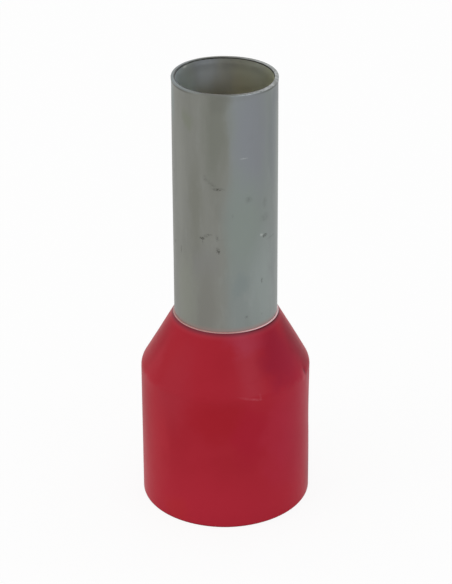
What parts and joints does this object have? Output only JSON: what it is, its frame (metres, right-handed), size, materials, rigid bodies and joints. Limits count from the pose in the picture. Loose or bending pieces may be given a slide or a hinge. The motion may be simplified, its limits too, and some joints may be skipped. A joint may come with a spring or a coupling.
{
  "type": "wire ferrule",
  "caption": "Insulated wire ferrule: a thin tinned copper sleeve with a funnelled tail, held in a red moulded collar with a conical shoulder.",
  "frame": {"origin": "centre of the collar's mouth, on the surface that the part stands on", "axes": "+Z along the axis of the sleeve, from the collar's mouth towards the tip of the pin"},
  "size_m": [0.0082, 0.0082, 0.0216],
  "materials": {
    "tinned_copper": "dull tin plating with fine scuffs",
    "red_plastic": "satin moulded polypropylene"
  },
  "bodies": {
    "root": {"crimp_sleeve": "tinned_copper", "insulating_collar": "red_plastic"}
  },
  "joints": []
}
